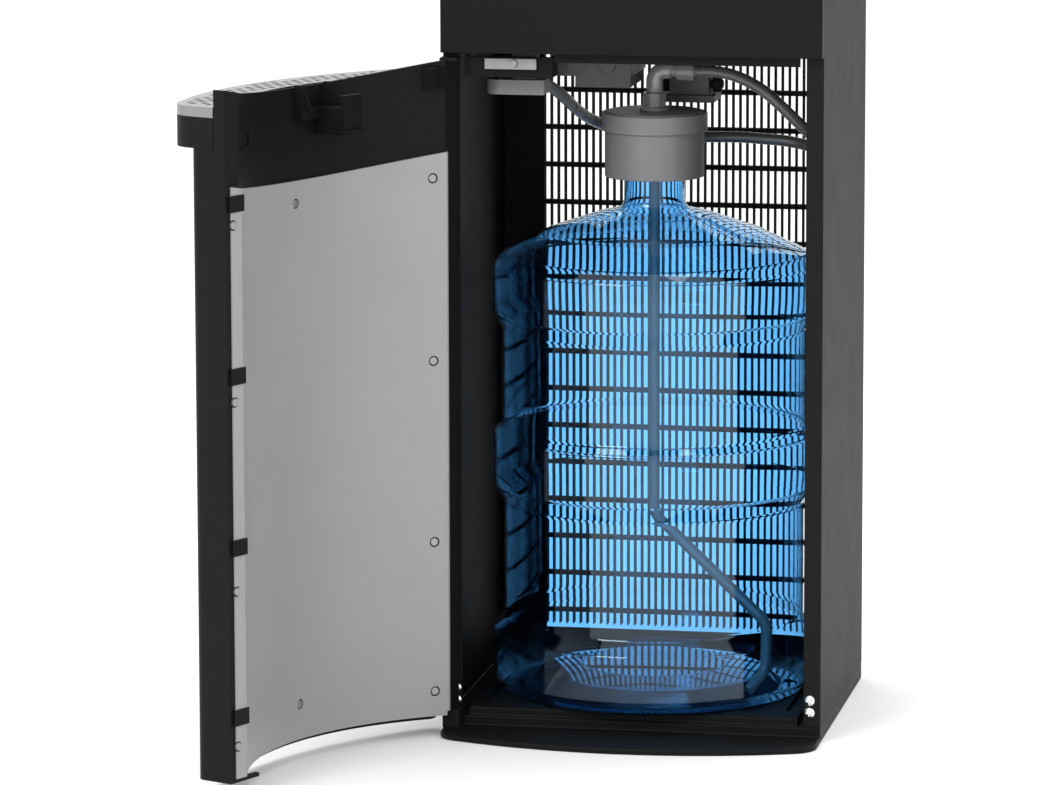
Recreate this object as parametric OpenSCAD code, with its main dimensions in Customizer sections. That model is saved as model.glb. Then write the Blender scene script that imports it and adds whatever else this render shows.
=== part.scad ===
// Bottom-loading water dispenser. The bottle stands in a cabinet behind a hinged, bowed door.
// Front is -Y, up is +Z. The origin is on the underside of the base, below the middle of the
// front opening. The door is drawn open and the bottle is drawn in place.

/* [Cabinet] */
// Width over the side panels
body_w = 310; // [290:1:380]
// Depth of the side panels
body_d = 260; // [250:1:330]
// Height of the top edge of the side panels
body_h = 1015; // [960:1:1240]
// Thickness of the sheet steel
sheet = 1.2; // [0.8:0.1:2]
// Width of the folded front flanges
flange_w = 14; // [10:1:20]
// Height of the lower edge of the fixed front panel
opening_h = 560; // [540:1:680]
// Thickness of the moulded covers
cover_t = 3; // [2:0.5:4]
// How far the fixed front panel stands in front of the flanges
panel_reach = 11; // [8:1:16]

/* [Base] */
// Thickness of the bowed lip of the base
lip_t = 5; // [4:0.5:8]
// Height of the ledge under the side panels
ledge_h = 13; // [10:1:18]
// Height of the platform under the bottle
platform_h = 20; // [18:1:30]

/* [Door] */
// Opening angle of the door as drawn
door_open = 114.6; // [0:0.1:125]
// Thickness of the door along its side edges
door_edge = 36; // [30:1:40]
// How far the middle of the door bows out beyond its edges
door_bow = 31.5; // [20:0.5:45]
// Wall thickness of the outer skin
skin_t = 3; // [2:0.5:4]
// Gap between the door and the front flanges
door_gap = 2; // [1.5:0.1:4]
// Gap between the door and the panels above and below it
door_air = 2; // [1.5:0.1:4]
// Depth of the hollow on the inside of the door
hollow_depth = 50; // [40:1:54]
// How far the top edge dips in the middle
top_dip = 15; // [4:1:18]
// Diameter of the hinge pins
pin_d = 5; // [4:0.5:6]
// Running clearance of the hinge pins, on the radius
pin_fit = 0.05; // [0.02:0.01:0.1]
// Thickness of the liner
liner_t = 2; // [1.5:0.5:3]
// Height of the black section above the liner
door_head_h = 74; // [60:1:90]

/* [Drip tray] */
// How far the middle of the tray reaches in front of the flanges
tray_reach = 91; // [80:1:105]
// How far the ends of the tray reach in front of the flanges
tray_edge = 53; // [44:1:56]
// Height of the tray with its grille
tray_h = 32.5; // [26:0.5:40]
// Drop from the door's top corners to the top of the grille
tray_drop = 14; // [13:0.5:24]
// Thickness of the grille
grille_t = 3; // [2:0.5:4]
// Height of the grille's outer rim
rim_h = 8; // [6:0.5:12]

/* [Bottle] */
// Outer radius of the bottle's rings
bottle_r = 134; // [110:1:134]
// Outer radius between the rings
waist_r = 125; // [100:1:126]
// Height of the bottle to the top of its neck
bottle_h = 470; // [430:1:480]
// Wall thickness of the bottle
bottle_wall = 1.8; // [1.2:0.1:3]
// Outer radius of the neck
neck_r = 24.3; // [20:0.1:28]
// Distance from the front flanges to the bottle's axis
bottle_y = 110; // [100:1:116]

/* [Probe] */
// Outer radius of the probe cap's collar
cap_r = 43.7; // [38:0.1:50]
// Height of the probe cap
cap_h = 54; // [44:1:60]
// Diameter of the dip tube and of the hose
hose_d = 9.5; // [8:0.5:12]

/* [Condenser] */
// Spacing of the tube's passes
tube_pitch = 32.1; // [28:0.1:40]
// Diameter of the condenser tube
tube_d = 4.8; // [4:0.2:8]
// Number of passes of the tube
tube_rows = 23; // [15:1:25]
// Spacing of the wires
wire_pitch = 6; // [5:0.5:10]
// Diameter of the wires
wire_d = 1.6; // [1:0.1:2.4]

/* [Dispensing head] */
// Height of the underside of the head
head_z = 805; // [780:1:860]
// How far the head's middle reaches in front of the flanges
head_reach = 95; // [80:1:110]
// How far the head's middle bows out beyond its sides
head_bow = 40; // [20:1:50]
// Height of the top cover
lid_h = 16; // [10:1:24]
// Diameter of the push buttons
button_d = 28; // [22:1:34]
// Spacing of the buttons and of the spouts
button_pitch = 62; // [45:1:75]
// Clearance round the buttons, on the radius
button_fit = 0.5; // [0.3:0.1:1]

/* [Hidden] */
$fn = 64;

steel_black = [0.19, 0.19, 0.2];
plastic_black = [0.15, 0.15, 0.16];
liner_grey = [0.74, 0.75, 0.76];
fitting_grey = [0.5, 0.51, 0.52];
chrome = [0.82, 0.83, 0.85];

eps = 0.1;              // overlap of a cutting tool beyond what it cuts
touch = 0.1;            // gap between neighbouring pieces of one assembly
free = 0.5;             // gap between pieces that move past each other
half_w = body_w / 2;
inner_w = half_w - sheet;
bay_half = half_w - flange_w;

// Radius of an arc of height bow over a chord of twice half
function bow_radius(half, bow) = (half * half + bow * bow) / (2 * bow);
// Where an arc that peaks at y = -reach stands at x
function arc_y(x, r, reach) = r - reach - sqrt(r * r - x * x);

// Door, in its closed place
door_half = half_w - 2;
door_bottom = ledge_h + 1;
door_top = opening_h - door_air;
door_reach = door_edge + door_bow;
door_r = bow_radius(door_half, door_bow);
frame_edge = 14.5;                    // where the tray meets the inner frame
door_corner = 10;                     // rounding of the door's outer corners
base_corner = 22;
column_w = 16;
column_x = door_half - column_w;
column_face = door_gap + 1.6;         // inner face of the frame's columns, in front of the flanges
hollow_r = bow_radius(column_x - 1, hollow_depth - column_face - 0.4);
hollow_axis = hollow_r - hollow_depth;
dish_r = bow_radius(door_half, top_dip);
liner_top = door_top - door_head_h;
liner_bottom = door_bottom + skin_t + 0.3;
pivot_x = -(half_w - 7);
pivot_y = -8;
hinge_depth = 15;                     // reach of the hinge hardware in front of the flanges
pin_bottom_z = 20;
pin_top_z = door_top - 4.5;
hinge_notch = 22;

// Tray, with the door closed
tray_top = door_top - tray_drop;
tray_floor = tray_top - tray_h;
tray_seat = tray_floor - touch;
tray_r = bow_radius(door_half, tray_reach - tray_edge);
tray_corner = 24;
tray_wall = 2;
wall_t = 2.5;                         // thickness of the head's curved wall
grille_gap = 1.5;                     // gap between the grille and the head's curved wall

// Bottle and probe
neck_top = platform_h + bottle_h;
cap_top = neck_top + 12;
cap_bottom = cap_top - cap_h;
cap_body_r = cap_r - 2.8;
collar_h = 16;
elbow_d = 13.8;
elbow_out_d = 11;
elbow_z = cap_top + 33;
dip_bend_z = 166;
dip_path = [[0, 0, dip_bend_z], [100, -38, 84], [100, -44, 44], [88, -58, 30]];

// Condenser
window_left = half_w - 36;
window_right = half_w - 20;
window_bottom = 36;
back_y = body_d - 2 * sheet - touch;   // front face of the rear panels
tube_y = body_d + 6;
tube_half = half_w - 27;
wire_count = 2 * floor((half_w - 34) / wire_pitch) + 1;
tube_z0 = 50.5;
tube_z1 = tube_z0 + (tube_rows - 1) * tube_pitch;

// Head
head_r = bow_radius(half_w, head_bow);
button_z = head_z + 125;
button_in = 24;
panel_h = 74;
spout_y = -70;
spout_d = 16;
shelf_z = opening_h + 15;
tank_z = head_z - 25;

// Route of the supply hose, from the elbow on the probe to the manifold
hose_route = [[34.3, 110, 535], [48, 110, 535], [62, 110, 533], [76, 110, 528], [90, 110, 520],
    [103, 111, 509], [115, 114, 497], [125, 120, 486], [133, 130, 476], [137, 143, 469],
    [137, 157, 465], [132, 171, 464], [123, 182, 465], [110, 189, 467], [95, 192, 469],
    [78, 193, 470], [60, 193, 471], [40, 192, 471], [20, 190, 471], [0, 186, 472], [-18, 179, 474],
    [-33, 169, 477], [-45, 156, 482], [-54, 141, 488], [-61, 125, 495], [-66, 109, 503],
    [-70, 94, 511], [-74, 81, 518], [-78, 69, 524], [-82, 59, 528]];

// A block whose front face is an arc that peaks at y = -reach, with its two front corners rounded
module bowed_block(half, reach, r, y_back, z0, z1, corner = 0) {
    xc = half - corner;
    yc = r - reach - sqrt(pow(r - corner, 2) - xc * xc);
    out = 3 * corner * unit([xc, yc - r + reach]);
    crossing = 0.02;    // makes the rounding cross the faces instead of just touching them
    difference() {
        intersection() {
            translate([-half, -reach - 1, z0]) cube([2 * half, y_back + reach + 1, z1 - z0]);
            translate([0, r - reach, z0]) cylinder(r = r, h = z1 - z0, $fn = 128);
        }
        if (corner > 0) for (side = [0, 1]) mirror([side, 0, 0])
            translate([xc, yc, z0 - 1]) linear_extrude(z1 - z0 + 2) difference() {
                polygon([[0, 0], [3 * corner, 0], [3 * corner + out[0], out[1]], out]);
                circle(r = corner + crossing);
            }
    }
}

// Everything above a dipped edge whose corners are at height z
module above_dip(z, half) {
    translate([0, 400, z - top_dip + dish_r]) rotate([90, 0, 0]) cylinder(r = dish_r, h = 800, $fn = 256);
    translate([-half, -400, z - 0.02]) cube([2 * half, 800, 60]);
}

// Turns what is drawn closed to the drawn opening angle
module on_door() {
    translate([pivot_x, pivot_y, 0]) rotate([0, 0, -door_open]) translate([-pivot_x, -pivot_y, 0])
        children();
}

module panel_side(side) {
    color(steel_black) mirror([side < 0 ? 1 : 0, 0, 0]) union() {
        translate([half_w - sheet, 0, ledge_h]) cube([sheet, body_d, body_h - ledge_h]);
        translate([bay_half, 0, ledge_h]) cube([flange_w, sheet, body_h - ledge_h]);
        translate([half_w - 10, body_d - sheet, ledge_h]) cube([10, sheet, body_h - ledge_h]);
    }
}

module side_panel_left() { panel_side(-1); }
module side_panel_right() { panel_side(1); }

module base_plate() {
    color(plastic_black) difference() {
        union() {
            bowed_block(half_w, door_reach, door_r, body_d, 0, lip_t, base_corner);
            translate([-half_w, 0, lip_t - eps]) cube([body_w, body_d, ledge_h - lip_t + eps]);
            translate([-bay_half + 5, 2, ledge_h - eps])
                cube([2 * bay_half - 10, back_y - 4, platform_h - ledge_h + eps]);
        }
        for (x = [-1, 1], y = [30, 130])
            translate([x * (bay_half - 14) - 4, y, platform_h - 3]) cube([8, 80, 4]);
        translate([-60, 40, -eps]) cube([120, 170, 4]);
    }
}

module rear_frame() {
    color(steel_black) difference() {
        translate([-inner_w + touch, back_y, ledge_h + touch])
            cube([2 * (inner_w - touch), sheet, opening_h - ledge_h - 2 * touch]);
        translate([-window_left, back_y - 1, window_bottom])
            cube([window_left + window_right, sheet + 2, opening_h - window_bottom + 1]);
    }
}

module rear_cover() {
    slot_rows = 7;
    color(steel_black) difference() {
        translate([-inner_w + touch, back_y, opening_h])
            cube([2 * (inner_w - touch), sheet, body_h - opening_h - touch]);
        for (k = [0:slot_rows - 1], x = [-60, 60])
            translate([x - 40, back_y - 1, body_h - 70 - k * 12]) cube([80, sheet + 2, 4]);
        for (x = [-1, 1])
            translate([x * 22 - 7.5, back_y - 1, body_h - 195]) cube([15, sheet + 2, 22]);
        translate([half_w - 35, back_y - 1, head_z + 20]) rotate([-90, 0, 0]) cylinder(d = 12.2,
            h = sheet + 2);
        translate([-half_w + 35, back_y - 1, head_z + 20]) rotate([-90, 0, 0]) cylinder(d = 16.2,
            h = sheet + 2);
    }
}

module mid_shelf() {
    color(steel_black) union() {
        translate([-inner_w + touch, sheet + touch, shelf_z])
            cube([2 * (inner_w - touch), back_y - sheet - 2 * touch, sheet]);
        translate([-half_w + 91, 0, opening_h - 8]) cube([body_w - 91 - 19, sheet,
            shelf_z - opening_h + 8 + sheet]);
        translate([-half_w + 91, 0, shelf_z]) cube([body_w - 91 - 19, sheet + 1, sheet]);
    }
}

module tank_shelf() {
    color(steel_black) union() {
        translate([-inner_w + touch, sheet + 1, tank_z])
            cube([2 * (inner_w - touch), back_y - sheet - 2, sheet]);
        for (s = [-1, 1]) translate([s * (inner_w - touch - sheet / 2) - sheet / 2, sheet + 1, tank_z - 14])
            cube([sheet, back_y - sheet - 2, 14]);
    }
}

module front_panel() {
    color(plastic_black) difference() {
        translate([-half_w, -panel_reach, opening_h]) cube([body_w, panel_reach - touch,
            head_z - opening_h - touch]);
        translate([-half_w + cover_t, -panel_reach + cover_t, opening_h + cover_t])
            cube([body_w - 2 * cover_t, panel_reach, head_z - opening_h - 2 * cover_t]);
        translate([-half_w + 3.5, -3, opening_h - 1]) cube([12.5, 4, cover_t + 2]);
    }
}

module spout_places() { for (k = [-1:1]) translate([k * button_pitch, spout_y, 0]) children(); }

module head_shell() {
    z1 = body_h - touch;
    color(plastic_black) difference() {
        bowed_block(half_w, head_reach, head_r, -touch, head_z, z1);
        bowed_block(half_w - cover_t, head_reach - cover_t, head_r - cover_t, 1, head_z + cover_t,
            z1 - cover_t);
        spout_places() translate([0, 0, head_z - 1]) cylinder(d = spout_d + 2 * touch, h = cover_t + 2);
        for (k = [-1:1]) translate([k * button_pitch, -head_reach - 1, button_z])
            rotate([-90, 0, 0]) cylinder(d = button_d + 2 * button_fit, h = 40);
        for (k = [-1:1]) translate([k * button_pitch, -head_reach - 1, button_z + 27])
            rotate([-90, 0, 0]) cylinder(d = 5 + 2 * touch, h = 30);
        translate([-button_pitch - 9 - free, -head_reach - 1, button_z - 31 - free])
            cube([18 + 2 * free, 30, 8 + 2 * free]);
    }
}

module top_cover() {
    rim = 4;
    color(plastic_black) difference() {
        bowed_block(half_w, head_reach, head_r, body_d, body_h, body_h + lid_h);
        bowed_block(half_w - rim, head_reach - rim, head_r - rim, body_d - rim, body_h - 1,
            body_h + lid_h - cover_t);
    }
}

module control_panel() {
    t = 2;
    color([0.08, 0.08, 0.09]) difference() {
        intersection() {
            translate([-110, -head_reach - t - 1, button_z - panel_h / 2]) cube([220, 60, panel_h]);
            translate([0, head_r - head_reach, 0]) cylinder(r = head_r + t, h = 1200, $fn = 128);
        }
        translate([0, head_r - head_reach, 0]) cylinder(r = head_r + 0.05, h = 1200, $fn = 128);
        for (k = [-1:1]) translate([k * button_pitch, -head_reach - 5, button_z])
            rotate([-90, 0, 0]) cylinder(d = button_d + 2 * button_fit, h = 40);
        for (k = [-1:1]) translate([k * button_pitch, -head_reach - 5, button_z + 27])
            rotate([-90, 0, 0]) cylinder(d = 5 + 2 * touch, h = 30);
        translate([-button_pitch - 9 - free, -head_reach - 5, button_z - 31 - free])
            cube([18 + 2 * free, 40, 8 + 2 * free]);
    }
}

module indicator_lights() {
    color([0.9, 0.6, 0.2]) for (k = [-1:1]) {
        y = arc_y(k * button_pitch, head_r, head_reach);
        translate([k * button_pitch, y - 2.4, button_z + 27]) rotate([-90, 0, 0]) cylinder(d = 5, h = 9);
    }
}

module push_button(k, tint) {
    y = arc_y(k * button_pitch, head_r, head_reach);
    color(tint) translate([k * button_pitch, y - 6, button_z]) rotate([-90, 0, 0]) difference() {
        union() {
            cylinder(d = button_d, h = button_in);
            translate([0, 0, button_in - eps]) cylinder(d = 8, h = 10);
        }
        translate([0, 0, -28]) sphere(r = 30);
    }
}

module hot_button() { push_button(-1, [0.75, 0.12, 0.1]); }
module room_button() { push_button(0, [0.8, 0.8, 0.82]); }
module cold_button() { push_button(1, [0.1, 0.3, 0.75]); }

module child_lock() {
    y = arc_y(button_pitch, head_r, head_reach);
    color([0.75, 0.12, 0.1]) translate([-button_pitch - 9, y - 5, button_z - 31]) cube([9, 16, 8]);
}

module spouts() {
    color(chrome) spout_places() difference() {
        union() {
            translate([0, 0, head_z - 22]) cylinder(d = spout_d, h = 45);
            translate([0, 0, head_z - 22]) cylinder(d = spout_d + 3, h = 6);
        }
        translate([0, 0, head_z - 23]) cylinder(d = 8, h = 50);
    }
}

module control_board() {
    color([0.1, 0.4, 0.2]) union() {
        translate([-90, -40, head_z + 60]) cube([180, 1.6, 110]);
        for (x = [-60, -20, 30]) translate([x, -40 + 1.5, head_z + 80]) cube([20, 10, 20]);
    }
}

module chrome_screw(r) {
    difference() {
        intersection() {
            sphere(r = r * 1.25);
            translate([-r * 2, -r * 2, r * 0.75]) cube([4 * r, 4 * r, r]);
        }
        translate([-r, -r * 0.15, r * 1.05]) cube([2 * r, r * 0.3, r]);
        translate([-r * 0.15, -r, r * 1.05]) cube([r * 0.3, 2 * r, r]);
    }
}

module cabinet_screws() {
    r = 4.3;
    color(chrome) for (side = [-1, 1], k = [0:1])
        translate([side * (half_w - 9), r * 0.75 - 0.05, 25.3 + k * 10])
            rotate([90, 0, 0]) chrome_screw(r);
}

module condenser_tube() {
    bend_r = tube_pitch / 2;
    color([0.1, 0.1, 0.11]) union() {
        for (k = [0:tube_rows - 1]) translate([-tube_half, tube_y, tube_z0 + k * tube_pitch])
            rotate([0, 90, 0]) cylinder(d = tube_d, h = 2 * tube_half, $fn = 24);
        for (k = [0:tube_rows - 2]) {
            s = k % 2 == 0 ? 1 : -1;
            translate([s * tube_half, tube_y, tube_z0 + (k + 0.5) * tube_pitch]) rotate([90, 0, 0])
                rotate([0, 0, s > 0 ? -90 : 90]) rotate_extrude(angle = 180, $fn = 48)
                    translate([bend_r, 0]) circle(d = tube_d, $fn = 24);
        }
    }
}

module condenser_wires() {
    d = tube_d / 2 + wire_d / 2 + 0.05;
    color([0.1, 0.1, 0.11]) for (k = [0:wire_count - 1], s = [-1, 1])
        translate([(k - (wire_count - 1) / 2) * wire_pitch, tube_y + s * d, tube_z0 - 12])
            cylinder(d = wire_d, h = tube_z1 - tube_z0 + 24, $fn = 16);
}

module condenser_brackets() {
    y = tube_y + tube_d / 2 + 0.05;
    foot = tube_z0 - 22;
    color(steel_black) for (s = [-1, 1]) {
        translate([s * (tube_half - 3) - 2, y, foot]) cube([4, 1.2, tube_z1 - tube_z0 + 44]);
        for (z = [foot, tube_z1 + 8]) {
            translate([s > 0 ? tube_half - 5 : -half_w + 2, y, z]) cube([half_w - tube_half + 3, 1.2, 14]);
            translate([s > 0 ? half_w - 3.2 : -half_w + 2, body_d + 0.05, z]) cube([1.2,
                y - body_d + 1, 14]);
        }
    }
}

module hinge_block_lower() {
    color(steel_black) difference() {
        translate([-half_w, -hinge_depth, lip_t]) cube([flange_w, hinge_depth - touch,
            pin_bottom_z - lip_t]);
        translate([pivot_x, pivot_y, lip_t + 4]) cylinder(d = pin_d, h = 40);
    }
}

module hinge_bracket_upper() {
    color(steel_black) difference() {
        union() {
            translate([-half_w, -hinge_depth, pin_top_z]) cube([flange_w, hinge_depth - touch, 2.5]);
            translate([-half_w + 4, -2.2, pin_top_z]) cube([11, 2.1, 36]);
        }
        translate([pivot_x, pivot_y, pin_top_z - 1]) cylinder(d = pin_d, h = 5);
    }
}

module hinge_pins() {
    color(chrome) {
        translate([pivot_x, pivot_y, lip_t + 4]) cylinder(d = pin_d, h = 30);
        translate([pivot_x, pivot_y, pin_top_z - 18]) cylinder(d = pin_d, h = 18 + 2.5);
    }
}

module switch_hole(y0, y1) {
    translate([-half_w + 58, y0, opening_h - 9]) rotate([-90, 0, 0]) cylinder(d = 6, h = y1 - y0);
}

module switch_bracket() {
    color(plastic_black) difference() {
        translate([-half_w + 17, 4.6, opening_h - 21]) cube([72, 24, 17]);
        translate([-half_w + 19, 7.1, opening_h - 19]) cube([68, 30, 30]);
        switch_hole(0, 12);
    }
}

module switch_plate() {
    color([0.62, 0.62, 0.63]) difference() {
        translate([-half_w + 34, 1.3, opening_h - 14]) cube([42, 3.2, 8.5]);
        switch_hole(0, 12);
    }
}

module switch_plunger() {
    color([0.75, 0.75, 0.76]) union() {
        translate([-half_w + 58, -1.2, opening_h - 9]) rotate([-90, 0, 0]) cylinder(d = 5.4, h = 12);
        translate([-half_w + 58, 8.2, opening_h - 9]) rotate([-90, 0, 0]) cylinder(d = 9, h = 2.5);
    }
}

module water_manifold() {
    x0 = -half_w + 34;
    z0 = opening_h - 38;
    out = unit(hose_route[29] - hose_route[28]);
    color(fitting_grey) difference() {
        union() {
            translate([x0 + 7, 31, z0]) cube([36, 26, 12]);
            translate([x0 + 7, 44, z0]) cylinder(r = 13, h = 12);
            translate([x0 + 16, 38, z0 + 11]) cube([20, 12, shelf_z - z0 - 11 - touch]);
            translate(hose_route[29] + touch * out) rotate([0, acos(out[2]), atan2(out[1], out[0])])
                cylinder(d = hose_d + 3, h = 16);
        }
        translate([x0 + 8, 36, z0 + 4]) cylinder(d = 9, h = 20);
    }
}

module drain_pan() {
    x0 = -half_w + 76;
    z0 = opening_h - 28;
    h = shelf_z - z0 - touch;
    color([0.3, 0.3, 0.31]) union() {
        difference() {
            translate([x0, 84, z0]) cube([64, 72, h]);
            translate([x0 + 3, 87, z0 + 10]) cube([58, 66, h]);
        }
        translate([x0 - 2, 81, z0 + 10]) cube([68, 4, h - 10]);
        for (x = [x0 + 18, x0 + 44]) translate([x, 85, z0 + 10]) rotate([90, 0, 0]) cylinder(r = 7, h = 4);
        for (k = [0:7]) translate([x0 + 16, 92 + k * 8, z0 - 10]) cube([46, 2, 10 + eps]);
    }
}

module pump_body() {
    color([0.42, 0.43, 0.44]) union() {
        translate([5, 155, opening_h - 50]) cube([33, 34, 30]);
        translate([-1, 152, opening_h - 56]) cube([44, 40, 6 + eps]);
        translate([21.5, 172, opening_h - 20 - eps]) cylinder(d = 30, h = 16);
    }
}

module pump_bracket() {
    color(steel_black) union() {
        translate([0, 150, opening_h - 4 + touch]) cube([44, 44, 2]);
        for (x = [0, 42]) translate([x, 150, opening_h - 4 + touch]) cube([2, 44,
            shelf_z - opening_h + 4 - 2 * touch]);
    }
}

module pump_mounts() {
    color([0.12, 0.12, 0.13]) for (s = [-1, 1])
        translate([21.5 + s * (16.5 + touch), 170, opening_h - 42]) rotate([0, s * 90, 0]) union() {
            cylinder(d = 7, h = 10);
            translate([0, 0, 1.5]) cylinder(d = 14, h = 7);
        }
}

function unit(v) = v / norm(v);
function heading(p, i) = unit(p[min(i + 1, len(p) - 1)] - p[max(i - 1, 0)]);

// A tube of radius r swept along the points p, which never head along up
module swept_tube(p, r, sides, up) {
    n = len(p);
    rings = [for (i = [0:n - 1]) let (h = heading(p, i), a = unit(cross(up, h)), b = cross(h, a))
        for (k = [0:sides - 1]) p[i] + r * (cos(360 * k / sides) * a + sin(360 * k / sides) * b)];
    walls = [for (i = [0:n - 2], k = [0:sides - 1]) let (k2 = (k + 1) % sides)
        [i * sides + k, (i + 1) * sides + k, (i + 1) * sides + k2, i * sides + k2]];
    polyhedron(points = rings, faces = concat([[for (k = [0:sides - 1]) k]], walls,
        [[for (k = [sides - 1:-1:0]) (n - 1) * sides + k]]), convexity = 6);
}

module supply_hose() {
    color([0.55, 0.56, 0.57]) swept_tube(hose_route, hose_d / 2, 10, [0, 0, 1]);
}

module cold_tank() {
    color([0.75, 0.76, 0.78]) translate([-60, 145, tank_z + sheet + 6]) union() {
        cylinder(d = 128, h = 165);
        translate([0, 0, -6 + touch]) cylinder(d = 60, h = 7);
        translate([0, 0, 165 - eps]) cylinder(d = 40, h = 8);
    }
}

module tank_insulation() {
    color([0.9, 0.88, 0.8]) translate([-60, 145, tank_z + sheet + 0.6]) difference() {
        cylinder(d = 168, h = 160);
        translate([0, 0, -1]) cylinder(d = 129, h = 170);
    }
}

module hot_tank() {
    color([0.75, 0.76, 0.78]) translate([88, 145, tank_z + sheet + touch]) union() {
        cylinder(d = 96, h = 140);
        translate([0, 0, 40]) cylinder(d = 100, h = 30);
        translate([0, 0, 140 - eps]) cylinder(d = 24, h = 12);
    }
}

module compressor() {
    color([0.1, 0.1, 0.1]) translate([40, 140, shelf_z + sheet + 14]) union() {
        cylinder(d = 126, h = 100);
        translate([0, 0, 100]) intersection() {
            sphere(d = 126);
            translate([-70, -70, 0]) cube([140, 140, 45]);
        }
        translate([-75, -60, -1]) cube([150, 120, 3]);
        translate([-88, -14, 30]) cube([30, 28, 40]);
    }
}

module compressor_mounts() {
    color([0.12, 0.12, 0.13]) for (x = [-66, 66], y = [-50, 50])
        translate([40 + x, 140 + y, shelf_z + sheet + touch]) cylinder(d = 16, h = 12.7);
}

module cable_gland() {
    color([0.08, 0.08, 0.08]) translate([half_w - 35, back_y - 6, head_z + 20]) rotate([-90, 0, 0])
        difference() {
        union() {
            cylinder(d = 12, h = 16);
            translate([0, 0, 6 + sheet + touch]) cylinder(d = 18, h = 5);
        }
        translate([0, 0, -1]) cylinder(d = 7, h = 20);
    }
}

module drain_plug() {
    color([0.1, 0.1, 0.1]) translate([-half_w + 35, back_y - 6, head_z + 20]) rotate([-90, 0, 0]) union() {
        cylinder(d = 16, h = 16);
        translate([0, 0, 6 + sheet + touch]) cylinder(d = 24, h = 8);
    }
}

module rocker(k, tint) {
    color(tint) translate([k * 22, back_y + sheet / 2, body_h - 184]) intersection() {
        translate([-6.5, -9, -10]) cube([13, 30, 20]);
        rotate([0, 90, 0]) translate([0, 0, -6.5]) cylinder(r = 10, h = 13);
    }
}

module heater_switch() { rocker(-1, [0.75, 0.12, 0.1]); }
module cooler_switch() { rocker(1, [0.1, 0.5, 0.25]); }

module hinge_relief(z0, z1) {
    translate([-door_half - 1, -hinge_notch, z0]) cube([column_w + 4, hinge_notch + 1, z1 - z0]);
}

module door_hollow(z0, z1, inset) {
    translate([0, hollow_axis, z0]) cylinder(r = hollow_r - inset, h = z1 - z0, $fn = 128);
}

module door_skin() {
    color(plastic_black) on_door() difference() {
        union() {
            difference() {
                bowed_block(door_half, door_reach, door_r, -frame_edge, door_bottom, tray_seat,
                    door_corner);
                bowed_block(door_half - skin_t, door_reach - skin_t, door_r - skin_t, 0,
                    door_bottom + skin_t,
                    tray_seat - skin_t, door_corner - skin_t);
                intersection() {
                    door_hollow(0, door_top, -wall_t - 0.2);
                    translate([-column_x, -100, 0]) cube([2 * column_x, 200, door_top]);
                }
            }
            for (x = [-door_half, column_x]) translate([x, -frame_edge - eps, door_bottom])
                cube([column_w, frame_edge - column_face + eps, liner_top - door_bottom - touch]);
            translate([column_x - 20, -8, door_bottom]) cube([21, 8 - column_face, skin_t]);
        }
        hinge_relief(0, pin_bottom_z + 1);
        hinge_corner();
        pin_bore();
    }
}

module hinge_corner() {
    translate([-door_half - 1, -26, 0]) cube([2.6, 26, door_top + 1]);
}

module pin_bore() {
    translate([pivot_x, pivot_y, 0]) cylinder(d = pin_d + 2 * pin_fit, h = pin_bottom_z + 20);
    translate([pivot_x, pivot_y, pin_top_z - 20]) cylinder(d = pin_d + 2 * pin_fit, h = 40);
}

module door_frame() {
    column_top = pin_top_z - 0.6;
    pad_x = -119.5;
    color(plastic_black) on_door() difference() {
        union() {
            translate([-door_half, -frame_edge + touch, liner_top])
                cube([column_w + 1, frame_edge - column_face - touch, column_top - liner_top]);
            translate([column_x - 1, -frame_edge + touch, liner_top])
                cube([column_w + 1, frame_edge - column_face - touch, door_top - liner_top]);
            difference() {
                intersection() {
                    door_hollow(liner_top - top_dip - 4, door_top, -wall_t);
                    translate([-column_x + touch, -100, 0])
                        cube([2 * (column_x - touch), 100 - column_face, door_top]);
                }
                door_hollow(0, door_top + 10, 0);
            }
            intersection() {
                translate([-column_x, -30, door_top - 25.5]) cube([column_x + pad_x, 30 - column_face, 17]);
                door_hollow(0, door_top, -1);
            }
        }
        above_dip(door_top - 0.01, door_half + 5);
        hinge_corner();
        pin_bore();
        magnet_place() translate([-touch, -10, -touch])
            cube([10 + 2 * touch, 14 + touch, 30 + 2 * touch]);
        intersection() {
            door_hollow(0, door_top, -1);
            union() {
                translate([column_x - 53, -60, door_top - 51.5]) cube([53, 60, 1.2]);
                translate([column_x - 53, -60, door_top - 51.5]) cube([4, 60, 9.5]);
            }
        }
    }
}

module liner_holes() {
    for (drop = [24, 173, 322, 446]) translate([0, hollow_axis, liner_top - drop]) rotate([0, 0, -34.5])
        translate([0, -hollow_r + 6, 0]) rotate([90, 0, 0]) children();
    for (drop = [31, 169, 318, 441]) translate([column_x + 8, -column_face + 6.9, liner_top - drop])
        rotate([90, 0, 0]) children();
    for (drop = [33, 438]) translate([0, hollow_axis, liner_top - drop]) rotate([0, 0, 1.4])
        translate([0, -hollow_r + 6, 0]) rotate([90, 0, 0]) children();
}

module door_liner() {
    color(liner_grey) on_door() difference() {
        union() {
            difference() {
                intersection() {
                    door_hollow(liner_bottom, liner_top, 0.15);
                    translate([-column_x, -100, 0]) cube([2 * column_x, 100 - door_gap, door_top]);
                }
                door_hollow(0, door_top, 0.15 + liner_t);
            }
            translate([column_x - 2.5, -column_face + touch, liner_bottom])
                cube([12.5, 1.5 - touch, liner_top - liner_bottom]);
        }
        above_dip(liner_top - 0.01, door_half + 5);
        hinge_relief(0, pin_bottom_z + 1);
        liner_holes() cylinder(d = 8.4, h = 12);
    }
}

module liner_screws() {
    color([0.6, 0.61, 0.62]) on_door() liner_holes() translate([0, 0, 4.4]) cylinder(d = 6.4, h = 2.4);
}

module liner_clips() {
    color(plastic_black) on_door() for (k = [0:3])
        translate([column_x - 5, -1.95, liner_top - 21 - k * 134.5]) cube([18, 0.9, 13]);
}

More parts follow.
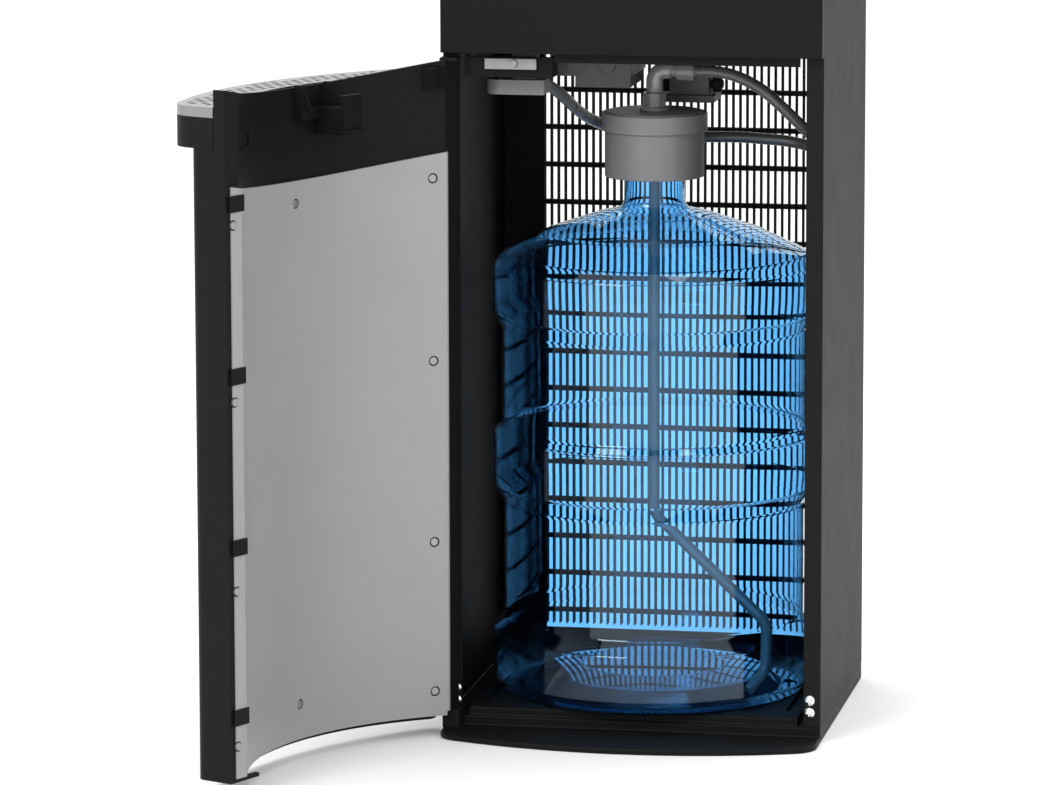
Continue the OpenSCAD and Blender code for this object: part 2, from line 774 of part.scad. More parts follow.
// A rib on the head's curved wall, at x, that reaches top_reach out at z1 and low_reach at z0
module hanger_rib(x, z0, z1, top_reach, low_reach) {
    translate([x, -hollow_depth, 0]) rotate([90, 0, 90]) linear_extrude(2.5)
        polygon([[-2, z0], [low_reach, z0], [top_reach, z1], [-2, z1]]);
}

module probe_hanger() {
    color(plastic_black) on_door() intersection() {
        union() {
            translate([-41, -hollow_depth, door_top - 53.5]) cube([21, 28, 21.5]);
            translate([-44, -22.1, door_top - 50]) cube([24, 3, 28]);
            translate([-47, -30, door_top - 52]) cube([30, 13, 2.5]);
            translate([-20.1, -hollow_depth, door_top - 41]) cube([24, 8, 9]);
            hanger_rib(1.2, door_top - 33, door_top - 13, 8, 17);
            hanger_rib(-34, door_top - 33, door_top - 13, 10, 17);
        }
        door_hollow(0, door_top, touch);
    }
}

// The magnet slides in from behind and stops just short of the column's inner face
module magnet_place() {
    translate([column_x + 3, -9, door_top - 58]) children();
}

module door_magnet() {
    color([0.1, 0.1, 0.1]) on_door() magnet_place() cube([10, 4, 30]);
}

// The tray's plan, in front of the head's curved wall
module tray_plan(z0, z1, inset, gap) {
    difference() {
        bowed_block(door_half - inset, tray_reach - inset, tray_r - inset, -frame_edge - free - inset,
            z0, z1,
            tray_corner - inset);
        door_hollow(z0 - 1, z1 + 1, -wall_t - gap);
        hinge_corner();
        translate([-door_half - 1, -19, z0 - 1]) cube([11, 20, z1 - z0 + 2]);
    }
}

module drip_tray() {
    color(plastic_black) on_door() difference() {
        tray_plan(tray_floor, tray_top - rim_h - touch, 0, free);
        tray_plan(tray_floor + tray_wall, tray_top, tray_wall, free + tray_wall);
    }
}

// An oval hole along X
module slot(l, w, h) {
    translate([-l / 2, -w / 2, 0]) cube([l, w, h]);
    for (s = [-1, 1]) translate([s * l / 2, 0, 0]) cylinder(d = w, h = h, $fn = 24);
}

module drip_grille() {
    skirt = tray_wall + 0.4;
    pitch_x = 12;
    pitch_y = 7.5;
    color(chrome) on_door() difference() {
        union() {
            tray_plan(tray_top - rim_h - 5, tray_top - rim_h + eps, skirt, free + skirt + grille_gap);
            tray_plan(tray_top - rim_h, tray_top, 0, grille_gap);
        }
        tray_plan(tray_top - rim_h - 6, tray_top - grille_t, skirt + 1.6, free + skirt + grille_gap + 1.6);
        for (row = [0:8], col = [-13:12]) {
            x = (col + (row % 2) / 2) * pitch_x;
            y = -tray_reach + 8 + row * pitch_y;
            edge_r = sqrt(pow(abs(x) + 5, 2) + pow(y - 2 - (tray_r - tray_reach), 2));
            wall_r = sqrt(pow(abs(x) + 5, 2) + pow(y + 2 - hollow_axis, 2));
            if (edge_r < tray_r - 5 && wall_r > hollow_r + wall_t + 5 && abs(x) < door_half - 12
                && y < -frame_edge - 7)
                translate([x, y, tray_top - grille_t - 1]) slot(4.6, 3.4, grille_t + 2);
        }
    }
}

// Outer outline of the bottle, from the middle of the bottom to the top of the neck
function bottle_outline(g) = let (r = bottle_r - g, w = waist_r - g, n = neck_r - g) [
    [0, 14 + g], [r - 46, 12 + g], [r - 24, g], [r - 12, g + 1], [r - 4, 6 + g], [r, 14], [r, 49 - g],
    [w, 62 - g], [w - 0.5, 158 + g], [r - 0.5, 172 + g], [r - 0.5, 214 - g], [w + 0.5, 224 - g],
        [w + 0.5, 302 + g],
    [r, 316 + g], [r, 354 - g], [r - 4, 363 - g], [r - 18, 370 - g], [r - 44, 381 - g], [r - 70, 390 - g],
    [n + 14, 397 - g], [n + 5, 401 - g], [n + 1, 407 - g], [n, 413 - g]];

module water_bottle() {
    outer = bottle_outline(0);
    inner = bottle_outline(bottle_wall);
    color([0.35, 0.66, 0.95, 0.5]) translate([0, bottle_y, platform_h + touch])
        rotate_extrude($fn = 128) polygon(concat(outer, [[neck_r, bottle_h], [neck_r - bottle_wall,
            bottle_h]],
            [for (i = [len(inner) - 1:-1:0]) inner[i]]));
}

module on_bottle() { translate([0, bottle_y, 0]) children(); }

module probe_cap() {
    color(fitting_grey) on_bottle() difference() {
        union() {
            translate([0, 0, cap_bottom]) cylinder(r = cap_body_r, h = cap_h - 2);
            translate([0, 0, cap_top - 2 - eps]) cylinder(r = cap_body_r - 1.5, h = 2 + eps);
        }
        translate([0, 0, cap_bottom - 1]) cylinder(r = neck_r + 0.15, h = neck_top - cap_bottom + 1.3);
        translate([0, 0, neck_top - 1]) cylinder(d = hose_d + 0.4, h = 30);
    }
}

module cap_collar() {
    color(fitting_grey) on_bottle() difference() {
        translate([0, 0, cap_top - collar_h]) cylinder(r = cap_r, h = collar_h - 1);
        translate([0, 0, cap_top - collar_h - 1]) cylinder(r = cap_body_r + 0.05, h = collar_h + 2);
    }
}

module collar_nut() {
    color([0.6, 0.61, 0.62]) on_bottle() difference() {
        union() {
            translate([0, 0, cap_top + touch]) cylinder(d = 19, h = 15);
            translate([0, 0, cap_top + touch]) cylinder(d = 24, h = 3);
        }
        translate([0, 0, cap_top - 1]) cylinder(d = elbow_d + 0.2, h = 20);
    }
}

module probe_elbow() {
    bend = 9;
    color([0.6, 0.61, 0.62]) on_bottle() difference() {
        union() {
            translate([0, 0, cap_top + 0.3]) cylinder(d = elbow_d, h = elbow_z - bend - cap_top - 0.3);
            translate([bend, 0, elbow_z - bend]) rotate([90, 0, 0]) rotate([0, 0, 90])
                rotate_extrude(angle = 90, $fn = 64) translate([bend, 0]) circle(d = elbow_d, $fn = 32);
            translate([bend, 0, elbow_z]) rotate([0, 90, 0]) cylinder(d = elbow_d, h = 5);
            translate([bend, 0, elbow_z]) rotate([0, 90, 0]) cylinder(d = elbow_out_d, h = 25);
        }
        translate([0, 0, cap_top - 1]) cylinder(d = hose_d + 0.2, h = 12);
    }
}

module hose_clip() {
    color([0.7, 0.71, 0.72]) on_bottle() translate([19, 0, elbow_z]) rotate([0, 90, 0]) difference() {
        cylinder(d = 15.5, h = 14);
        translate([0, 0, -1]) cylinder(d = elbow_out_d + 0.1, h = 20);
    }
}

// The path p with each corner replaced by a short three-point bend of reach b
function eased(p, b) = let (n = len(p)) concat([p[0]], [for (i = [1:n - 2])
    let (u = unit(p[i - 1] - p[i]), v = unit(p[i + 1] - p[i]))
        each [p[i] + b * u, p[i] + b * 0.27 * (u + v), p[i] + b * v]], [p[n - 1]]);

module dip_tube() {
    color([0.6, 0.62, 0.64]) on_bottle()
        swept_tube(eased(concat([[0, 0, cap_top + 10]], dip_path), 6), hose_d / 2, 16, [0, 1, 0]);
}

base_plate();
side_panel_left();
side_panel_right();
rear_frame();
rear_cover();
mid_shelf();
tank_shelf();
front_panel();
head_shell();
top_cover();
control_panel();
indicator_lights();
cabinet_screws();
condenser_tube();
condenser_wires();
condenser_brackets();
hinge_block_lower();
hinge_bracket_upper();
hinge_pins();
switch_bracket();
switch_plate();
switch_plunger();
water_manifold();
drain_pan();
pump_body();
pump_bracket();
pump_mounts();
supply_hose();
cold_tank();
tank_insulation();
hot_tank();
compressor();
compressor_mounts();
spouts();
control_board();
cable_gland();
drain_plug();
door_skin();
door_frame();
door_liner();
liner_screws();
liner_clips();
probe_hanger();
door_magnet();
drip_tray();
drip_grille();
water_bottle();
probe_cap();
cap_collar();
probe_elbow();
collar_nut();
dip_tube();
hose_clip();
hot_button();
room_button();
cold_button();
child_lock();
heater_switch();
cooler_switch();
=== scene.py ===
import math

import bmesh
import bpy
from mathutils import Matrix, Vector


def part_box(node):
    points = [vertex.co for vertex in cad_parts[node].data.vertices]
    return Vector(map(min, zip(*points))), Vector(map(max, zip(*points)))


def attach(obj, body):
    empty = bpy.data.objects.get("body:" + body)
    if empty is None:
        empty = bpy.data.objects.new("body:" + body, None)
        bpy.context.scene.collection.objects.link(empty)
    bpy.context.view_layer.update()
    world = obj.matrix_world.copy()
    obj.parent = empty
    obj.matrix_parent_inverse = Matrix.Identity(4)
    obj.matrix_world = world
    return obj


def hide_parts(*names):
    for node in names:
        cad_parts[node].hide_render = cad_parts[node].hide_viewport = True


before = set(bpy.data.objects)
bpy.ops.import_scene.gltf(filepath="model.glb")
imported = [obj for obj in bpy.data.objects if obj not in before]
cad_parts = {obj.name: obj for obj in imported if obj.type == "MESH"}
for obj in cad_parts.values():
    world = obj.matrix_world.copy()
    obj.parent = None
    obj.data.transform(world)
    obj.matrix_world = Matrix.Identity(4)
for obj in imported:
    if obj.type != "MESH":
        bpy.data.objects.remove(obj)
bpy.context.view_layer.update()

scene = bpy.context.scene
MM = 0.001

# ---------------------------------------------------------------- places read from the frame
bottle_lo, bottle_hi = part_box("water_bottle")
AXIS_X = (bottle_lo.x + bottle_hi.x) / 2
AXIS_Y = (bottle_lo.y + bottle_hi.y) / 2
AT_BOTTLE = Matrix.Translation((AXIS_X, AXIS_Y, 0))


# ---------------------------------------------------------------- camera
CAMERA_PLACE = Vector((0.8070, -4.8157, 1.0938))
CAMERA_TURN = (10.546, 9.403, -0.133)     # yaw to the left, pitch down and roll, in degrees
LENS_MM = 210.2
SENSOR_MM = 36


def make_camera():
    """The scene's camera, level with the top of the cabinet and to its right."""
    yaw, pitch, roll = (math.radians(a) for a in CAMERA_TURN)
    ahead = math.cos(pitch)
    look = Vector((-math.sin(yaw) * ahead, math.cos(yaw) * ahead, -math.sin(pitch)))
    right = Vector((math.cos(yaw), math.sin(yaw), 0))
    up = right.cross(look)
    x = math.cos(roll) * right + math.sin(roll) * up
    y = math.cos(roll) * up - math.sin(roll) * right
    data = bpy.data.cameras.new("camera")
    data.sensor_width = SENSOR_MM
    data.lens = LENS_MM
    data.clip_start, data.clip_end = 0.1, 100
    camera = bpy.data.objects.new("camera", data)
    scene.collection.objects.link(camera)
    turn = Matrix((x, y, -look)).transposed().to_4x4()
    camera.matrix_world = Matrix.Translation(CAMERA_PLACE) @ turn
    scene.camera = camera


make_camera()


# ---------------------------------------------------------------- mesh tools
def piece(name, part, slot, body, smooth=35, matrix=None):
    """A mesh object from (verts, faces), with the slot's finish, that rides on a body."""
    mesh = bpy.data.meshes.new(name)
    verts, faces = part
    mesh.from_pydata([tuple(v) for v in verts], [], faces)
    if matrix is not None:
        mesh.transform(matrix)
    bm = bmesh.new()
    bm.from_mesh(mesh)
    bmesh.ops.remove_doubles(bm, verts=bm.verts, dist=1e-7)
    bmesh.ops.recalc_face_normals(bm, faces=bm.faces)
    bm.to_mesh(mesh)
    bm.free()
    obj = bpy.data.objects.new(name, mesh)
    scene.collection.objects.link(obj)
    mesh.materials.append(M[slot])
    shade(mesh, smooth)
    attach(obj, body)
    return obj


def shade(mesh, angle):
    """Smooth faces, with edges over the angle kept sharp."""
    mesh.polygons.foreach_set("use_smooth", [True] * len(mesh.polygons))
    mesh.set_sharp_from_angle(angle=math.radians(angle))


def lathe(outline, sides):
    """The outline, as (radius, height) pairs, turned about the Z axis. Points on the axis close it."""
    rings, verts = [], []
    for r, z in outline:
        if r < 1e-9:
            rings.append([len(verts)])
            verts.append((0, 0, z))
        else:
            rings.append(list(range(len(verts), len(verts) + sides)))
            verts += [(r * math.cos(2 * math.pi * k / sides), r * math.sin(2 * math.pi * k / sides), z)
                      for k in range(sides)]
    faces = []
    for a, b in zip(rings, rings[1:]):
        for k in range(sides):
            n = (k + 1) % sides
            if len(a) == 1 and len(b) == 1:
                continue
            if len(a) == 1:
                faces.append([a[0], b[n], b[k]])
            elif len(b) == 1:
                faces.append([a[k], a[n], b[0]])
            else:
                faces.append([a[k], a[n], b[n], b[k]])
    return verts, faces


def rounded(outline, radii, steps):
    """The outline with each corner rounded by an arc of about its radius, or less on a short side."""
    n = len(outline)
    made = []
    for i, p in enumerate(outline):
        r = radii[i]
        if i in (0, n - 1) or r <= 0:
            made.append(tuple(p))
            continue
        p = Vector(p)
        a, b = Vector(outline[i - 1]) - p, Vector(outline[i + 1]) - p
        turn = math.pi - a.angle(b, math.pi)
        if turn < math.radians(2):
            made.append(tuple(p))
            continue
        reach = min(r * math.tan(turn / 2), a.length * 0.49, b.length * 0.49)
        s, e = p + a.normalized() * reach, p + b.normalized() * reach
        for k in range(steps + 1):
            t = k / steps
            made.append(tuple(s.lerp(p, t).lerp(p.lerp(e, t), t)))
    return made


def smoothed(points, step):
    """A centripetal spline through the points, with a point about every step."""
    pts = [Vector(p) for p in points]
    ends = [2 * pts[0] - pts[1]] + pts + [2 * pts[-1] - pts[-2]]
    made = []
    for i in range(1, len(ends) - 2):
        p0, p1, p2, p3 = ends[i - 1:i + 3]
        n = max(1, round((p2 - p1).length / step))
        for k in range(n):
            t = k / n
            made.append(0.5 * ((2 * p1) + (p2 - p0) * t + (2 * p0 - 5 * p1 + 4 * p2 - p3) * t * t
                               + (3 * p1 - p0 - 3 * p2 + p3) * t ** 3))
    return made + [pts[-1]]


def eased(path, bend, steps):
    """The path with each corner replaced by a bend that starts that far from it."""
    made = [Vector(path[0])]
    for a, p, b in zip(path, path[1:], path[2:]):
        a, p, b = Vector(a), Vector(p), Vector(b)
        s, e = p + (a - p).normalized() * bend, p + (b - p).normalized() * bend
        made += [s.lerp(p, k / steps).lerp(p.lerp(e, k / steps), k / steps) for k in range(steps + 1)]
    return made + [Vector(path[-1])]


def sweep(path, radius, sides, bore=None):
    """A tube along the path, solid with closed ends, or hollow where a bore's radius is given."""
    path = [Vector(p) for p in path]
    n = len(path)
    heads = [(path[min(i + 1, n - 1)] - path[max(i - 1, 0)]).normalized() for i in range(n)]
    side = heads[0].orthogonal().normalized()
    frames = []
    for h in heads:
        side = (side - h * side.dot(h)).normalized()
        frames.append((side, h.cross(side)))

    def skin(r):
        verts, faces = [], []
        for i, p in enumerate(path):
            a, b = frames[i]
            for k in range(sides):
                t = 2 * math.pi * k / sides
                verts.append(p + r * (math.cos(t) * a + math.sin(t) * b))
        for i in range(n - 1):
            for k in range(sides):
                m = (k + 1) % sides
                faces.append([i * sides + k, i * sides + m, (i + 1) * sides + m, (i + 1) * sides + k])
        return verts, faces
    verts, faces = skin(radius)
    last = (n - 1) * sides
    if bore:
        inner, inner_faces = skin(bore)
        base = len(verts)
        verts += inner
        faces += [[j + base for j in f] for f in inner_faces]
        for k in range(sides):
            m = (k + 1) % sides
            faces.append([k, m, base + m, base + k])
            faces.append([last + k, last + m, base + last + m, base + last + k])
    else:
        faces += [list(range(sides)), list(range(last, last + sides))]
    return verts, faces


WELD_DISTANCE = 1e-6
FLAT_ANGLE = math.radians(0.4)      # faces that meet under this angle are joined before the edges are rounded
EDGE_ANGLE = math.radians(32)       # edges over this angle are rounded


def soften(name, width):
    """Rounds a CAD node's edges with modifiers, and shades its curves smooth. Its vertices stay."""
    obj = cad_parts[name]
    mesh = obj.data
    if "custom_normal" in mesh.attributes:
        mesh.attributes.remove(mesh.attributes["custom_normal"])
    mesh.polygons.foreach_set("use_smooth", [True] * len(mesh.polygons))
    weld = obj.modifiers.new("weld", "WELD")
    weld.merge_threshold = WELD_DISTANCE
    merge = obj.modifiers.new("flat", "DECIMATE")
    merge.decimate_type = "DISSOLVE"
    merge.angle_limit = FLAT_ANGLE
    bevel = obj.modifiers.new("bevel", "BEVEL")
    bevel.width = width
    bevel.segments = 2
    bevel.limit_method = "ANGLE"
    bevel.angle_limit = EDGE_ANGLE
    bevel.harden_normals = True
    bevel.use_clamp_overlap = True
    bevel.miter_outer = "MITER_ARC"


# ---------------------------------------------------------------- materials
class Nodes:
    """A node tree built around one Principled shader, with patterns in the object's own coordinates."""

    def __init__(self, name):
        self.material = bpy.data.materials.new(name)
        self.material.use_nodes = True
        self.tree = self.material.node_tree
        self.shader = self.tree.nodes["Principled BSDF"]
        self.place = self.tree.nodes.new("ShaderNodeTexCoord").outputs["Object"]

    def node(self, kind, **values):
        made = self.tree.nodes.new(kind)
        for key, value in values.items():
            setattr(made, key, value)
        return made

    def join(self, a, b):
        self.tree.links.new(a, b)

    def stretched(self, scale):
        mapping = self.node("ShaderNodeMapping")
        mapping.inputs["Scale"].default_value = scale
        self.join(self.place, mapping.inputs["Vector"])
        return mapping.outputs["Vector"]

    def noise(self, scale, detail=3, rough=0.55, place=None):
        made = self.node("ShaderNodeTexNoise")
        made.inputs["Scale"].default_value = scale
        made.inputs["Detail"].default_value = detail
        made.inputs["Roughness"].default_value = rough
        self.join(place or self.place, made.inputs["Vector"])
        return made.outputs["Fac"]

    def ranged(self, value, low, high, from_low=0.3, from_high=0.7):
        made = self.node("ShaderNodeMapRange")
        ends = {"From Min": from_low, "From Max": from_high, "To Min": low, "To Max": high}
        for key, number in ends.items():
            made.inputs[key].default_value = number
        self.join(value, made.inputs["Value"])
        return made.outputs["Result"]

    def mixed(self, factor, a, b):
        made = self.node("ShaderNodeMix", data_type="RGBA")
        self.join(factor, made.inputs["Factor"])
        for socket, value in ((made.inputs["A"], a), (made.inputs["B"], b)):
            if isinstance(value, tuple):
                socket.default_value = (*value, 1)
            else:
                self.join(value, socket)
        return made.outputs["Result"]

    def bumped(self, height, strength, distance):
        made = self.node("ShaderNodeBump")
        made.inputs["Strength"].default_value = strength
        made.inputs["Distance"].default_value = distance
        self.join(height, made.inputs["Height"])
        return made.outputs["Normal"]

    def set(self, **values):
        for key, value in values.items():
            self.shader.inputs[key.replace("_", " ")].default_value = value


M = {}      # the finishes, by the names of the material slots


def scaled(colour, factor):
    """The colour made darker or lighter."""
    return tuple(min(1.0, c * factor) for c in colour)


def finish(name, colour, rough, vary=0.12, patch=30, grain=1800, depth=0.02, coat=0.0, metallic=0.0,
           specular=0.5, marks=0.06, stretch=None, **extra):
    """A painted, moulded or metal finish: drifting tone and roughness, and a fine grain in relief."""
    n = Nodes(name)
    drift = n.noise(patch, 4)
    fine = n.noise(grain, 2, 0.6, n.stretched(stretch) if stretch else None)
    tone = n.mixed(n.ranged(drift, 0, 1), scaled(colour, 1 - vary), scaled(colour, 1 + vary))
    fleck = vary * 0.8
    speck = n.mixed(n.ranged(fine, 0, 1, 0.25, 0.75), scaled(colour, 1 - fleck), scaled(colour, 1 + fleck))
    both = n.node("ShaderNodeMix", data_type="RGBA")
    both.inputs["Factor"].default_value = 0.4
    n.join(tone, both.inputs["A"])
    n.join(speck, both.inputs["B"])
    n.join(both.outputs["Result"], n.shader.inputs["Base Color"])
    wear = n.noise(patch * 2.7, 5, 0.65)
    n.join(n.ranged(wear, max(rough - marks, 0.02), min(rough + marks, 1)), n.shader.inputs["Roughness"])
    n.join(n.bumped(fine, depth * 10 if depth < 0.1 else 1, 0.0001), n.shader.inputs["Normal"])
    n.set(Metallic=metallic, Specular_IOR_Level=specular, Coat_Weight=coat, **extra)
    M[name] = n.material


def clear(name, tint, rough=0.03, ior=1.45, patch=18, depth=0.012, weight=1.0):
    """A clear moulded plastic: tinted glass with faint flow marks."""
    n = Nodes(name)
    flow = n.noise(patch, 3, 0.5, n.stretched((1, 1, 0.35)))
    tone = n.mixed(n.ranged(flow, 0, 1), scaled(tint, 0.96), scaled(tint, 1.03))
    n.join(tone, n.shader.inputs["Base Color"])
    n.join(n.ranged(n.noise(patch * 3), rough * 0.6, rough * 1.6), n.shader.inputs["Roughness"])
    n.join(n.bumped(flow, depth * 10, 0.0004), n.shader.inputs["Normal"])
    n.set(Transmission_Weight=weight, IOR=ior, Metallic=0.0)
    M[name] = n.material


# The imported materials step aside, so that the finishes can have the names of the slots.
ASIDE = "cad_"
for material in list(bpy.data.materials):
    material.name = ASIDE + material.name

finish("painted_steel", (0.0078, 0.0078, 0.008), 0.55, vary=0.05, patch=7, grain=1400, depth=0.02,
       specular=0.1, marks=0.03)
finish("moulded_black", (0.0062, 0.0062, 0.0064), 0.5, vary=0.05, patch=9, grain=2400, depth=0.02,
       specular=0.1, marks=0.03)
finish("gloss_panel", (0.006, 0.006, 0.007), 0.12, patch=22, grain=900, depth=0.003, coat=0.6, marks=0.05)
finish("amber_lens", (0.75, 0.32, 0.04), 0.18, patch=300, grain=2500, depth=0.004, Emission_Strength=0.0)
finish("chrome_trim", (0.74, 0.75, 0.77), 0.16, vary=0.06, patch=120, grain=3000, depth=0.004, metallic=1.0,
       marks=0.07)
finish("condenser_paint", (0.006, 0.006, 0.0062), 0.42, patch=25, grain=1500, depth=0.02, specular=0.2)
finish("plate_grey", (0.27, 0.27, 0.275), 0.42, patch=60, grain=2600, depth=0.015)
finish("fitting_grey", (0.185, 0.185, 0.188), 0.44, vary=0.07, patch=45, grain=2600, depth=0.02)
finish("pan_grey", (0.06, 0.06, 0.062), 0.4, patch=40, grain=2200, depth=0.02)
finish("pump_grey", (0.11, 0.11, 0.113), 0.45, patch=40, grain=1900, depth=0.03)
finish("soft_rubber", (0.012, 0.012, 0.012), 0.7, patch=60, grain=1500, depth=0.04, specular=0.25)
finish("tank_steel", (0.5, 0.5, 0.5), 0.3, patch=25, grain=700, depth=0.01, metallic=1.0, stretch=(1, 1,
       0.04))
finish("foam_cream", (0.72, 0.66, 0.5), 0.85, patch=50, grain=420, depth=0.09)
finish("compressor_black", (0.01, 0.01, 0.01), 0.35, patch=30, grain=900, depth=0.03)
finish("board_green", (0.02, 0.16, 0.06), 0.35, patch=90, grain=700, depth=0.02, coat=0.3)
finish("liner_grey", (0.29, 0.29, 0.293), 0.36, vary=0.05, patch=11, grain=1500, depth=0.02, specular=0.4)
finish("screw_grey", (0.32, 0.32, 0.325), 0.34, patch=150, grain=3000, depth=0.01, metallic=0.6)
finish("magnet_black", (0.014, 0.013, 0.013), 0.6, patch=80, grain=1200, depth=0.03)
finish("grille_silver", (0.3, 0.302, 0.31), 0.3, vary=0.07, patch=40, grain=1100, depth=0.012, metallic=1.0,
       stretch=(1, 0.05, 1))
finish("button_red", (0.46, 0.02, 0.018), 0.3, patch=90, grain=2400, depth=0.012, coat=0.25)
finish("button_white", (0.62, 0.62, 0.61), 0.3, patch=90, grain=2400, depth=0.012, coat=0.25)
finish("button_blue", (0.015, 0.07, 0.36), 0.3, patch=90, grain=2400, depth=0.012, coat=0.25)
finish("switch_green", (0.02, 0.2, 0.06), 0.3, patch=90, grain=2400, depth=0.012, coat=0.25)
clear("bottle_blue", (0.36, 0.69, 0.985), rough=0.014, ior=1.42, depth=0.003)
clear("clear_fitting", (0.5, 0.51, 0.52), rough=0.12, patch=60, weight=0.6)
finish("hose_clear", (0.125, 0.125, 0.128), 0.3, vary=0.06, patch=30, grain=900, depth=0.004, coat=0.35,
       Transmission_Weight=0.15)


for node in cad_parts.values():
    for s in node.material_slots:
        s.material = M[s.material.name.removeprefix(ASIDE).split(".")[0]]

# ---------------------------------------------------------------- the free hose
ROUTE_MM = [(34.3, 110, 535), (48, 110, 535), (62, 110, 533), (76, 110, 528), (90, 110, 520),
            (103, 111, 509), (115, 114, 497), (125, 120, 486), (133, 130, 476), (137, 143, 469),
            (137, 157, 465), (132, 171, 464), (123, 182, 465), (110, 189, 467), (95, 192, 469),
            (78, 193, 470), (60, 193, 471), (40, 192, 471), (20, 190, 471), (0, 186, 472), (-18, 179, 474),
            (-33, 169, 477), (-45, 156, 482), (-54, 141, 488), (-61, 125, 495), (-66, 109, 503),
            (-70, 94, 511), (-74, 81, 518), (-78, 69, 524), (-82, 59, 528)]
HOSE_D = 0.0095
TUBE_SIDES = 28
hose_path = smoothed([Vector(p) * MM for p in ROUTE_MM], 0.004)
hose = piece("supply_hose_clear", sweep(hose_path, HOSE_D / 2, TUBE_SIDES), "hose_clear", "cabinet")
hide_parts("supply_hose")


# ---------------------------------------------------------------- floor and light
FLOOR_HALF = 14
SKY_STRENGTH = 1.15


def make_stage():
    """A pale floor under an even white sky."""
    verts = [(x, y, 0) for x in (-FLOOR_HALF, FLOOR_HALF) for y in (-FLOOR_HALF, FLOOR_HALF)]
    mesh = bpy.data.meshes.new("floor")
    mesh.from_pydata(verts, [], [[0, 2, 3, 1]])
    floor = bpy.data.objects.new("floor", mesh)
    scene.collection.objects.link(floor)
    n = Nodes("floor_pale")
    tone = n.mixed(n.ranged(n.noise(1.2, 2), 0, 1), (0.86, 0.86, 0.86), (0.88, 0.88, 0.88))
    n.join(tone, n.shader.inputs["Base Color"])
    n.set(Roughness=0.9, Specular_IOR_Level=0.1)
    mesh.materials.append(n.material)
    world = bpy.data.worlds.new("studio")
    world.use_nodes = True
    background = world.node_tree.nodes["Background"]
    background.inputs["Color"].default_value = (1, 1, 1, 1)
    background.inputs["Strength"].default_value = SKY_STRENGTH
    scene.world = world


def area_light(name, place, target, size, power):
    """A rectangular light at a place, turned to a target."""
    data = bpy.data.lights.new(name, "AREA")
    data.shape = "RECTANGLE"
    data.size, data.size_y = size
    data.energy = power
    light = bpy.data.objects.new(name, data)
    scene.collection.objects.link(light)
    light.location = place
    light.rotation_mode = "QUATERNION"
    light.rotation_quaternion = (Vector(target) - Vector(place)).to_track_quat("-Z", "Y")


make_stage()
area_light("key", (-1.6, -3.4, 2.6), (0, 0, 0.4), (1.6, 1.6), 75)
area_light("right", (3.2, -1.4, 2.2), (0, 0, 0.5), (1.4, 2.0), 8)
area_light("top", (0.2, 0.6, 4.0), (0, 0, 0), (3.0, 3.0), 90)
scene.view_settings.view_transform = "Standard"


# ---------------------------------------------------------------- bottle
# Radius and height of each corner, and how far it is rounded, in mm
BOTTLE_SHAPE = [(0, 20, 0), (60, 19, 20), (93, 14, 8), (106, 0.6, 7), (126, 0.6, 9), (133.6, 12, 6),
                (133.6, 50, 4.5), (124.5, 63, 6), (124.5, 159, 6), (133.4, 173, 4.5), (133.4, 216, 4),
                (126, 222.5, 4.5), (126, 303, 5), (133.6, 316, 4.5), (133.6, 356, 6), (126, 365, 10),
                (90, 382.5, 40), (50, 396.5, 40), (25.2, 402.5, 9), (24.2, 469.5, 0)]


def bottle_profile(inset):
    """The wall's outline from the middle of the bottom to the neck, in metres, moved in by inset."""
    z0 = bottle_lo.z
    widest = (bottle_hi.x - bottle_lo.x) / 2 - 0.4 * MM
    corners = rounded([(r * MM, z * MM) for r, z, _ in BOTTLE_SHAPE], [b * MM for _, _, b in BOTTLE_SHAPE], 7)
    line = [Vector((r, z, 0)) for r, z in corners]
    made = []
    for i, p in enumerate(line):
        t = (line[min(i + 1, len(line) - 1)] - line[max(i - 1, 0)]).normalized()
        r = p.x - t.y * inset
        made.append((max(min(r, widest), 0), z0 + p.y + t.x * inset))
    return made


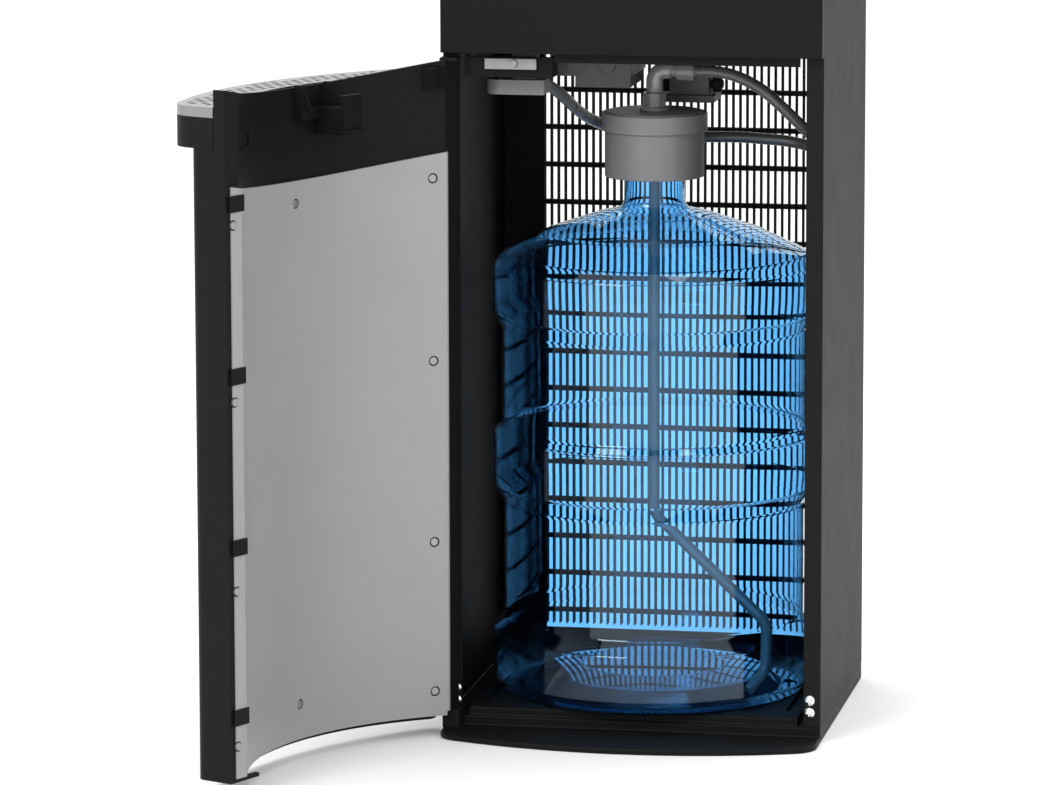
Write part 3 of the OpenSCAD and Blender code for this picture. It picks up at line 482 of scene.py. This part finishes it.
WALL = 1.5 * MM
BOTTLE_SIDES = 200
LIP = 0.3 * MM          # height of the rounded lip on the neck
EDGE = 0.1 * MM         # how far the lip stands in from the faces of the wall
outer = bottle_profile(0)
inner = bottle_profile(WALL)
outer[0], inner[0] = (0, outer[0][1]), (0, inner[0][1])
rim = [(outer[-1][0] - EDGE, outer[-1][1] + LIP), (inner[-1][0] + EDGE, outer[-1][1] + LIP)]
bottle = piece("bottle_shell", lathe(outer + rim + inner[::-1], BOTTLE_SIDES), "bottle_blue", "bottle",
               smooth=60, matrix=AT_BOTTLE)
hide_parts("water_bottle")

# ---------------------------------------------------------------- dip tube
INSIDE = 0.1 * MM       # keeps the tube inside the solid that it replaces
TUBE_BORE_R = 3.4 * MM
TUBE_BEND = 9 * MM
tube_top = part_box("dip_tube")[1].z - INSIDE
TUBE_MM = [(0, 0, 166), (100, -38, 84), (100, -44, 44), (88, -58, 30.4)]
tube_path = eased([(0, 0, tube_top)] + [Vector(p) * MM for p in TUBE_MM], TUBE_BEND, 8)
tube = piece("dip_tube_clear", sweep(tube_path, HOSE_D / 2 - INSIDE, TUBE_SIDES, bore=TUBE_BORE_R),
             "clear_fitting", "bottle", matrix=AT_BOTTLE)
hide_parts("dip_tube")

# ---------------------------------------------------------------- edges of the CAD pieces
EDGE_WIDTH_MM = {
    "base_plate": 1.4, "side_panel_left": 0.45, "side_panel_right": 0.45, "rear_frame": 0.4,
    "rear_cover": 0.4, "mid_shelf": 0.4, "front_panel": 0.9, "head_shell": 1.6, "top_cover": 2.2,
    "control_panel": 0.6, "hinge_block_lower": 0.7, "hinge_bracket_upper": 0.5, "switch_bracket": 0.7,
    "switch_plate": 0.4, "water_manifold": 0.9, "drain_pan": 0.9, "pump_body": 1.1, "pump_bracket": 0.4,
    "pump_mounts": 0.8, "compressor_mounts": 0.8, "control_board": 0.3, "door_skin": 1.1,
    "door_frame": 0.6, "door_liner": 0.45, "liner_clips": 0.25, "probe_hanger": 0.6, "drip_tray": 1.2,
    "drip_grille": 0.45, "hot_button": 1.2, "room_button": 1.2, "cold_button": 1.2, "child_lock": 0.9,
    "heater_switch": 0.9, "cooler_switch": 0.9, "cable_gland": 0.8, "drain_plug": 1.0, "spouts": 0.7,
    "compressor": 1.5, "probe_cap": 0.8, "cap_collar": 0.9, "collar_nut": 0.6, "probe_elbow": 0.5,
    "hose_clip": 0.6, "cabinet_screws": 0.15, "liner_screws": 0.4,
}
for node, width in EDGE_WIDTH_MM.items():
    soften(node, width * MM)
